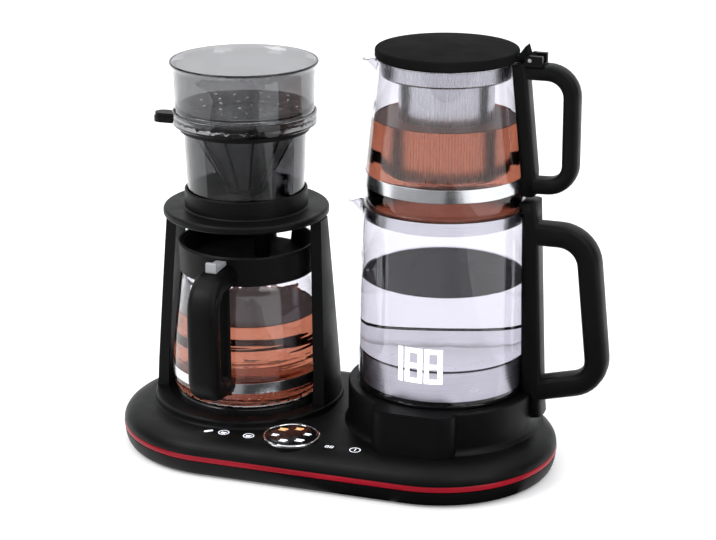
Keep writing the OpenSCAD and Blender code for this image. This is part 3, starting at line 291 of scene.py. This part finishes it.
# The controls: a fibreglass board with its parts, and the selector's encoder on it, under
# the top of the base and out of sight.
board_green, board_shader, board_place = new_finish("board_lacquer", {"Roughness": 0.35, "IOR": 1.5})
tracks = board_place.node("ShaderNodeTexBrick", {"offset": 0.37}, {
    "Vector": board_place, "Scale": 180, "Mortar Size": 0.03}, out="Fac")
wire(board_shader, "Base Color", tracks.between((0.01, 0.09, 0.035), (0.04, 0.2, 0.08)))
bump(board_shader, tracks, 0.5, 0.00003)
paint(["control_board"], board_green)
dark_parts = moulded("dark_parts_plastic", (0.02, 0.02, 0.022), (0.035, 0.035, 0.038), 0.4, 0.55)
paint(["selector_encoder", "power_connector", "kettle_socket"], dark_parts)

# The selector: a gloss black disc inside a bright ring, with six lit marks round it that
# show which drink is chosen. The marks are pads of clear resin over small lamps.
bright, bright_shader, bright_place = new_finish("bright_plating", {
    "Metallic": 1.0, "Base Color": (0.83, 0.84, 0.86, 1)})
wire(bright_shader, "Roughness", grain(bright_place, 400, 3).step(0.3, 0.8).between(0.06, 0.16))
bump(bright_shader, grain(bright_place, 1500, 2), 0.15, 0.00001)
paint(["selector_bezel"], bright)
black_gloss = moulded("black_gloss_plastic", (0.003, 0.0028, 0.0034), (0.006, 0.0055, 0.0065), 0.08, 0.16,
                      0.000006, {"Coat Weight": 0.3, "Coat Roughness": 0.05})
paint(["selector_dial"], black_gloss)
paint(["key_1", "key_2", "key_3", "key_4"], black_satin)


def lit(name, colour, strength):
    """resin that a lamp shines through, brighter in patches"""
    material, shader, place = new_finish(name, {"Roughness": 0.35, "Emission Strength": strength})
    glow = grain(place, 700, 2).step(0.2, 0.8)
    dim = tuple(c * 0.8 for c in colour)
    wire(shader, "Base Color", glow.between(dim, colour))
    wire(shader, "Emission Color", glow.between(dim, colour))
    return material


white_lit = lit("white_lit_resin", (0.9, 0.93, 1.0), 0.9)
warm_lit = lit("warm_lit_resin", (1.0, 0.5, 0.22), 0.9)


def finish_piece(piece, name, material, body, smooth_angle=None):
    """settles a new piece: name, place in its mesh, finish, slot and body"""
    bpy.ops.object.select_all(action="DESELECT")
    piece.select_set(True)
    bpy.context.view_layer.objects.active = piece
    bpy.ops.object.transform_apply(location=True, rotation=True, scale=True)
    if smooth_angle:
        bpy.ops.object.shade_smooth_by_angle(angle=math.radians(smooth_angle))
        bpy.ops.object.modifier_add(type="WEIGHTED_NORMAL")
        piece.modifiers[-1].keep_sharp = True
        piece.modifiers[-1].weight = 100
        bpy.ops.object.modifier_apply(modifier=piece.modifiers[-1].name)
    piece.name = piece.data.name = name
    piece.data.materials.clear()
    piece.data.materials.append(material)
    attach(piece, body)
    return piece


def start(adder, **how):
    """adds a primitive with nothing else selected, and returns it in edit mode"""
    bpy.ops.object.select_all(action="DESELECT")
    adder(**how)
    bpy.ops.object.mode_set(mode="EDIT")
    return bpy.context.object


def raise_plate(rise, bevel):
    """pulls a flat outline up into a plate with a softened upper edge"""
    bpy.ops.mesh.extrude_region_move(TRANSFORM_OT_translate={"value": (0, 0, rise)})
    bpy.ops.mesh.inset(thickness=bevel, depth=bevel)


def close_up():
    """ends edit mode with doubled points merged and the faces outwards"""
    bpy.ops.mesh.select_all(action="SELECT")
    bpy.ops.mesh.remove_doubles(threshold=1e-7)
    bpy.ops.mesh.normals_make_consistent(inside=False)
    bpy.ops.object.mode_set(mode="OBJECT")


def join(parts):
    """makes several pieces into one mesh"""
    bpy.ops.object.select_all(action="DESELECT")
    for part in parts:
        part.select_set(True)
    bpy.context.view_layer.objects.active = parts[0]
    bpy.ops.object.join()
    return bpy.context.object


def bar_part(x, y, z, w, h, rise):
    """a straight plate with a softened edge"""
    part = start(bpy.ops.mesh.primitive_plane_add, size=1, location=(x, y, z))
    bpy.ops.transform.resize(value=(w, h, 1))
    raise_plate(rise * 0.7, min(w, h) * 0.15)
    close_up()
    return part


def ring_part(x, y, z, outer, inner, rise):
    """a flat ring, made of a disc whose middle is taken out"""
    part = start(bpy.ops.mesh.primitive_circle_add, vertices=40, radius=outer, fill_type="NGON",
                 location=(x, y, z))
    bpy.ops.mesh.inset(thickness=outer - inner)
    bpy.ops.mesh.delete(type="FACE")
    bpy.ops.mesh.select_all(action="SELECT")
    bpy.ops.mesh.extrude_region_move(TRANSFORM_OT_translate={"value": (0, 0, rise)})
    close_up()
    return part


def cup_part(x, y, z, size, rise):
    """a cup on its saucer: half an oval, a ring for the handle and a bar"""
    bowl = start(bpy.ops.mesh.primitive_circle_add, vertices=32, radius=size * 0.42, fill_type="NGON",
                 location=(x, y, z))
    bpy.ops.mesh.bisect(plane_co=(x, y + size * 0.1, z), plane_no=(0, 1, 0),
                        clear_outer=True, use_fill=True)
    bpy.ops.mesh.select_all(action="SELECT")
    bpy.ops.mesh.extrude_region_move(TRANSFORM_OT_translate={"value": (0, 0, rise)})
    close_up()
    handle = ring_part(x + size * 0.47, y - size * 0.06, z, size * 0.16, size * 0.08, rise)
    saucer = bar_part(x, y - size * 0.5, z, size * 0.95, size * 0.11, rise)
    return join([bowl, handle, saucer])


dial_low, dial_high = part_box("selector_dial")
dial = (dial_low + dial_high) / 2
mark_count, first_mark, chosen_marks = 6, math.radians(20), (1, 2)
marks_r, mark_size, mark_rise = 14.2 * mm, 7.4 * mm, 0.35 * mm
mark_z = dial_high.z - 0.3 * mm
for k in range(mark_count):
    turn = math.tau * k / mark_count + first_mark
    x, y = dial.x + marks_r * math.cos(turn), dial.y + marks_r * math.sin(turn)
    mark = cup_part(x, y, mark_z, mark_size * (0.8 + 0.1 * (k % 3)), mark_rise)
    resin = warm_lit if k in chosen_marks else white_lit
    finish_piece(mark, f"drink_mark_{k + 1}", resin, "selector")

# The keys: four round caps flush with the base. Three have a printed ring round their
# sign, which is a cup, a cup and a bar; the third key's sign is a pair of plain digits.
ring_outer, ring_inner, ring_rise = 5.0 * mm, 4.2 * mm, 0.12 * mm
cup_size, sign_rise = 5.4 * mm, 0.2 * mm
digit_apart, digit_line = 2.1 * mm, 0.6 * mm
digit_side, digit_top, digit_w, digit_h = 1.3 * mm, 2.0 * mm, 2.0 * mm, 4.4 * mm
for k in range(1, 5):
    low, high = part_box(f"key_{k}")
    x, y = (low.x + high.x) / 2, (low.y + high.y) / 2
    ring_z, sign_z = high.z - 0.06 * mm, high.z - 0.22 * mm
    parts = [ring_part(x, y, ring_z, ring_outer, ring_inner, ring_rise)] if k != 3 else []
    if k < 3:
        parts.append(cup_part(x - 0.4 * mm, y + 0.6 * mm, sign_z, cup_size, sign_rise))
    elif k == 3:
        for s in (-1, 1):
            digit_x = x + s * digit_apart
            for t in (-1, 1):
                parts.append(bar_part(digit_x + t * digit_side, y, sign_z, digit_line, digit_h, sign_rise))
                parts.append(bar_part(digit_x, y + t * digit_top, sign_z, digit_w, digit_line, sign_rise))
            parts.append(bar_part(digit_x, y, sign_z, digit_w, 0.5 * mm, sign_rise))
    else:
        parts.append(bar_part(x, y + 0.6 * mm, sign_z, 0.8 * mm, 4.6 * mm, sign_rise))
    finish_piece(join(parts), f"key_sign_{k}", white_lit, f"key_{k}")
paint(["indicator_lens"], white_lit)

# The tower: a foot ring, two posts that lean inwards and the collar that they carry, all
# of the same black ABS, round a warming plate of black enamelled steel.
paint(["tower_foot", "left_post", "right_post", "tower_collar"], black_satin)
paint(["drip_guide", "drip_tube"], lid_satin)
enamel, enamel_shader, enamel_place = new_finish("plate_enamel", {"IOR": 1.5})
wire(enamel_shader, "Base Color", grain(enamel_place, 900, 4).step(0.55, 0.75).between(
    (0.012, 0.012, 0.013), (0.03, 0.03, 0.032)))
wire(enamel_shader, "Roughness", grain(enamel_place, 70, 4).step(0.3, 0.7).between(0.2, 0.4))
bump(enamel_shader, grain(enamel_place, 500, 3), 0.3, 0.00003)
paint(["warming_plate"], enamel)
cast_metal, cast_shader, cast_place = new_finish("heater_casting", {"Metallic": 0.9})
wire(cast_shader, "Base Color", grain(cast_place, 120, 4).between((0.3, 0.3, 0.31), (0.55, 0.55, 0.56)))
wire(cast_shader, "Roughness", grain(cast_place, 300, 3).between(0.4, 0.65))
bump(cast_shader, grain(cast_place, 900, 3), 0.5, 0.00005)
paint(["plate_heater", "kettle_heater"], cast_metal)


# The dripper and the water tank: injection moulded in smoky grey clear plastic, with a
# perforated plate in the tank. The tank stands loose in the ring of the dripper.
def clear_finish(name, tint, ior, smooth, rough, ripple):
    """a clear material: faint waviness, and smears that wander over it"""
    material, shader, place = new_finish(name, {
        "Base Color": tint + (1,), "IOR": ior, "Transmission Weight": 1.0})
    wire(shader, "Roughness", grain(place, 55, 4).step(0.45, 0.8).between(smooth, rough))
    bump(shader, grain(place, 28, 1), 0.25, ripple)
    return material


smoke = clear_finish("smoky_plastic", (0.39, 0.39, 0.395), 1.45, 0.01, 0.05, 0.00001)


def smooth_copy(node, material, angle=32):
    """the CAD piece with its loose triangles joined and its curves shaded smooth"""
    source = nodes[node]
    copy = bpy.data.objects.new(node + "_smooth", source.data.copy())
    bpy.context.scene.collection.objects.link(copy)
    bpy.ops.object.select_all(action="DESELECT")
    copy.select_set(True)
    bpy.context.view_layer.objects.active = copy
    bpy.ops.object.mode_set(mode="EDIT")
    bpy.ops.mesh.select_all(action="SELECT")
    bpy.ops.mesh.remove_doubles(threshold=1e-6)
    bpy.ops.object.mode_set(mode="OBJECT")
    finish_piece(copy, node + "_smooth", material, source["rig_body"], angle)
    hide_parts(node)
    return copy


deep_smoke = clear_finish("deep_smoky_plastic", (0.23, 0.23, 0.235), 1.45, 0.01, 0.05, 0.00001)
smooth_copy("dripper_body", deep_smoke)
for node in ("tank_shell", "shower_plate"):
    smooth_copy(node, smoke)
paint(["dripper_tab"], black_satin)

# The drip stop's spring: two turns of steel wire between the drip tube's flange and the
# roof of its chamber, which close up as the carafe's lid lifts the tube; the copy here keeps its rest
# shape.
spring = smooth_copy("drip_spring", steel, 60)
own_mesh(spring)

# Beads of water on the perforated plate, left from the last pour: flattened drops of many
# sizes, strewn by the golden angle.
plate_low, plate_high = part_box("shower_plate")
plate = (plate_low + plate_high) / 2
bead_count, beads_r, golden_angle = 26, 52 * mm, 2.4
beads = []
for k in range(bead_count):
    turn, reach = golden_angle * k, beads_r * math.sqrt((k + 0.5) / bead_count)
    size = (0.9 + 0.8 * ((k * 7) % 5) / 4) * mm
    place = plate + Vector((reach * math.cos(turn), reach * math.sin(turn), 0))
    place.z = plate_high.z + size * 0.25
    bead = start(bpy.ops.mesh.primitive_ico_sphere_add, subdivisions=2, radius=size, location=place)
    bpy.ops.transform.resize(value=(1.2, 1.0, 0.5))
    close_up()
    beads.append(bead)

# The beads' finish is bright rather than clear, as each one mirrors the lamps.
bead_water, bead_shader, bead_place = new_finish("bead_water", {"Metallic": 0.9, "Roughness": 0.05})
wire(bead_shader, "Base Color", grain(bead_place, 300, 2).between((0.6, 0.6, 0.62), (0.9, 0.9, 0.92)))
finish_piece(join(beads), "water_beads", bead_water, "tank", 60)

# The filter: a cone of fine steel mesh in an open frame of dark plastic, which hangs by
# its rim in the dripper.
paint(["filter_frame"], dark_parts)
mesh_steel, mesh_shader, mesh_place = new_finish("filter_mesh_steel", {"Metallic": 1.0})
mesh_x, mesh_y, mesh_z = mesh_place.axes()
tower_low, tower_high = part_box("filter_mesh")
tower = (tower_low + tower_high) / 2
hole_columns, row_pitch = 150, 1.1 * mm
round_angle = mesh_place.math("ARCTAN2", mesh_y - tower.y, mesh_x - tower.x)
columns = mesh_place.math("SINE", round_angle * hole_columns)
rows = mesh_place.math("SINE", mesh_z * (math.tau / row_pitch))
holes = (columns * rows).step(0.05, 0.35)
wire(mesh_shader, "Base Color", grain(mesh_place, 90, 3).between((0.55, 0.55, 0.56), (0.85, 0.85, 0.86)))
wire(mesh_shader, "Roughness", grain(mesh_place, 200, 2).between(0.25, 0.45))
wire(mesh_shader, "Alpha", holes.between(0.9, 0.15))
bump(mesh_shader, holes, 0.6, 0.00008)
smooth_copy("filter_mesh", mesh_steel)

# The carafe: blown glass with a steel band clamped round its belly, a moulded collar that
# carries the handle, a loose lid and a thumb lever whose grey is a painted highlight.
glass = clear_finish("clear_glass", (0.87, 0.86, 0.9), 1.46, 0.0, 0.015, 0.000008)
smooth_copy("carafe_glass", glass)
band_steel = brushed("band_steel", (0.74, 0.75, 0.78), 0.14, 0.24)
smooth_copy("carafe_band", band_steel)
paint(["carafe_collar"], black_satin)
paint(["carafe_lid"], lid_satin)
smooth_copy("carafe_handle", black_satin, 50)
# The lever's mid grey is a painted highlight, the sheen of its sloped top.
painted_highlight_lever = moulded("grey_lever_plastic", (0.3, 0.3, 0.31), (0.4, 0.4, 0.41), 0.35, 0.5)
paint(["carafe_lever"], painted_highlight_lever)


# The coffee in the carafe: a clear red-brown brew that takes the shape of the glass, with
# its edge drawn up a little where it wets the wall.
def turned(profile, centre, foot=0):
    """a piece turned on an upright axis, from its half outline in millimetres above foot"""
    first_r, first_z = profile[0]
    piece = start(bpy.ops.mesh.primitive_plane_add, size=1 * mm,
                  location=(centre.x + first_r * mm, centre.y, (foot + first_z) * mm))
    bpy.ops.mesh.merge(type="CENTER")
    for (r0, z0), (r1, z1) in zip(profile, profile[1:]):
        bpy.ops.mesh.extrude_region_move(TRANSFORM_OT_translate={
            "value": ((r1 - r0) * mm, 0, (z1 - z0) * mm)})
    bpy.ops.mesh.select_all(action="SELECT")
    bpy.ops.mesh.spin(steps=128, angle=math.tau, center=(centre.x, centre.y, 0), axis=(0, 0, 1))
    close_up()
    return piece


def liquid(name, tint, ior, streaks):
    """a clear brew or water, with level streaks where its wall of glass isn't quite even"""
    material, shader, place = new_finish(name, {
        "Base Color": tint + (1,), "IOR": ior, "Transmission Weight": 1.0, "Roughness": 0.0})
    darker = tuple(c * 0.92 for c in tint)
    wire(shader, "Base Color", grain(place, 14, 2).between(darker, tint))
    bump(shader, grain(place, 1, 2, (5, 5, 130)), 0.3, streaks)
    return material


coffee = liquid("clear_coffee", (0.56, 0.2, 0.11), 1.34, 0.004)
coffee_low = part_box("carafe_glass")[0].z / mm
coffee_depth = 76
coffee_profile = [(0, 3.9), (60.5, 3.7), (66.7, 3.6), (66.85, 8), (67.4, 13), (67.4, 28), (66.0, 48),
                  (63.2, 72), (62.7, coffee_depth + 1.2), (61.8, coffee_depth + 0.2),
                  (58.5, coffee_depth), (0, coffee_depth)]
coffee_piece = turned(coffee_profile, tower, coffee_low)
finish_piece(coffee_piece, "coffee", coffee, "carafe", 30)

# The kettle's plinth: a round seat with a pillar in front, of the base's own plastic, and
# the cup under the kettle with its seal and the heated steel pan inside the glass, whose
# inner face is given a faint glow, painted light for the light that the water gathers there.
paint(["kettle_plinth", "kettle_cup"], black_satin)
paint(["kettle_gasket", "lid_gasket"], rubber)
pan_steel = brushed("pan_steel", (0.66, 0.65, 0.7), 0.25, 0.4)
pan_shader = pan_steel.node_tree.nodes["Principled BSDF"]
pan_x, pan_y, pan_z = Value(pan_steel.node_tree).node("ShaderNodeTexCoord", out="Object").axes()
pan_low, pan_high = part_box("kettle_pan")
kettle = (pan_low + pan_high) / 2
pan_bore, pan_floor = 71 * mm, 90 * mm
from_x, from_y = pan_x - kettle.x, pan_y - kettle.y
pan_reach = pan_x.math("SQRT", from_x * from_x + from_y * from_y)
inside = pan_reach.step(pan_bore + 0.4 * mm, pan_bore) * pan_z.step(pan_floor - 1 * mm, pan_floor)
# Painted light: a faint glow on the pan's inner face, for the light that the water gathers there.
wire(pan_shader, "Emission Color", inside.between((0.0, 0.0, 0.0), (0.95, 0.94, 1)))
pan_shader.inputs["Emission Strength"].default_value = 0.42
smooth_copy("kettle_pan", pan_steel)
ring_steel = brushed("ring_steel", (0.66, 0.66, 0.69), 0.14, 0.26)
smooth_copy("seat_ring", ring_steel)

# The kettle: a straight glass jug with a drawn beak, a moulded handle and, on the front
# of the glass, the lamps of its temperature display.
smooth_copy("kettle_glass", glass)
smooth_copy("kettle_handle", black_satin, 50)
display_lit = lit("display_lamps", (0.97, 0.98, 1.0), 1.6)
paint(["temperature_display"], display_lit)

# The water: fills the kettle to just over half, on top of the pan and against the glass.
# Its radii and heights are in millimetres, with heights from the table.
glass_low, glass_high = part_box("kettle_glass")
glass_foot_r, glass_taper, glass_wall = 75, 2.4, 2.1


def kettle_bore(z):
    """inner radius of the kettle's glass, and a little more, so that the water wets it"""
    share = (z - glass_low.z / mm) / ((glass_high.z - glass_low.z) / mm)
    return glass_foot_r - glass_taper * share - glass_wall


water = liquid("clear_water", (0.86, 0.855, 0.885), 1.33, 0.00005)
water_foot, water_level = 90.6, 173.9
edge_r = kettle_bore(174)
water_profile = [(0, water_foot), (68.4, water_foot), (71.0, 92.8), (71.05, 106.4), (70.35, 106.8),
                 (70.8, 108.0)]
water_profile += [(kettle_bore(z), z) for z in (108.6, 130, 150, 175.2)]
water_profile += [(edge_r - 0.9, 174.2), (edge_r - 4, water_level), (0, water_level)]
water_piece = turned(water_profile, kettle)
finish_piece(water_piece, "water", water, "kettle", 30)


def painted_shade_top(piece, name, tint, level):
    """paints the level top of a liquid dark, painted shade for the darker look that it has from a low
    angle
    """
    material, shader, place = new_finish(name, {"Specular IOR Level": 0.02, "Roughness": 0.04})
    paler = tuple(c * 1.6 for c in tint)
    wire(shader, "Base Color", grain(place, 9, 2).between(tint, paler))
    piece.data.materials.append(material)
    for face in piece.data.polygons:
        if face.normal.z > 0.9 and face.center.z > (level - 0.6) * mm:
            face.material_index = 1


# The water's level top is painted dark, a painted shade.
painted_shade_top(water_piece, "water_top_painted_shade", (0.012, 0.012, 0.015), water_level)

# The teapot: a tapered glass with a beak, a steel band, and a handle that carries the
# bracket of the hinged lid.
smooth_copy("teapot_glass", glass)
smooth_copy("teapot_band", band_steel)
smooth_copy("teapot_handle", black_satin, 50)
paint(["lid_bracket"], black_satin)
smooth_copy("teapot_lid", lid_satin, 30)

# The basket: spun from thin steel sheet with a stepped rim, and pierced all round in its
# lower half with fine upright slits that let the leaves steep. It is in millimetres.
basket_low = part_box("infuser_basket")[0].z / mm
slit_count, slits_from, slits_to, painted_shade_line = 110, basket_low + 6, basket_low + 56, basket_low + 51
basket_profile = [(0, 1), (37.6, 1), (39.6, 1.6), (40, 3.2), (40, 87), (53.9, 87.2), (54.9, 88),
                  (54.9, 100.7), (58.8, 100.7), (58.8, 100.1), (55.9, 100.1), (55.9, 87.8), (54.5, 86.2),
                  (42, 86), (41, 85), (41, 3), (40.4, 1), (38, 0), (0, 0)]
basket_steel, basket_shader, basket_place = new_finish("basket_steel", {"Metallic": 1.0})
basket_x, basket_y, basket_z = basket_place.axes()
basket_turn = basket_place.math("ARCTAN2", basket_y - kettle.y, basket_x - kettle.x)
slits = basket_place.math("SINE", basket_turn * slit_count).step(0.1, 0.7)
above_foot = basket_z.step(slits_from * mm, (slits_from + 2) * mm)
below_rim = basket_z.step(slits_to * mm, (slits_to - 2) * mm)
pierced = above_foot * below_rim * slits
sheet = grain(basket_place, 1, 3, (900, 900, 40)).step(0.3, 0.7)
# Painted light and shade: below the tea's level the steel is coloured pale and warm, above it darker, and
# the slits are painted darker still, a painted shade in the holes.
painted_light_and_shade = basket_z.step(painted_shade_line * mm, (painted_shade_line - 2) * mm)
wire(basket_shader, "Base Color", (painted_light_and_shade - pierced * 0.2).between((0.48, 0.48, 0.5), (0.97, 0.94, 0.92)))
wire(basket_shader, "Roughness", sheet.between(0.24, 0.32))
wire(basket_shader, "Alpha", pierced.between(1.0, 0.8))
bump(basket_shader, sheet * 0.1 + (1 - pierced), 0.2, 0.00002)
basket = turned(basket_profile, kettle, basket_low)
finish_piece(basket, "infuser_basket_spun", basket_steel, "teapot", 30)
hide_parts("infuser_basket")

# The tea: an amber brew round and inside the basket, up to two thirds of the glass.
tea = liquid("clear_tea", (0.5, 0.165, 0.09), 1.34, 0.0008)
pot_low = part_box("teapot_glass")[0].z / mm
tea_depth = 83
tea_profile = [(0, 2.1), (55.2, 2.1), (61.1, 3.1), (63.6, 5.3), (65.4, 9.6), (66.3, 17.6), (66.8, 25),
               (66.8, 36.8), (62.15, tea_depth + 1.1), (61.3, tea_depth + 0.3), (58, tea_depth),
               (0, tea_depth)]
tea_piece = turned(tea_profile, kettle, pot_low)
finish_piece(tea_piece, "tea", tea, "teapot", 30)
# The tea's and the coffee's level tops are painted dark, a painted shade.
painted_shade_top(tea_piece, "tea_top_painted_shade", (0.14, 0.055, 0.035), pot_low + tea_depth)
painted_shade_top(coffee_piece, "coffee_top_painted_shade", (0.12, 0.05, 0.035), coffee_low + coffee_depth)
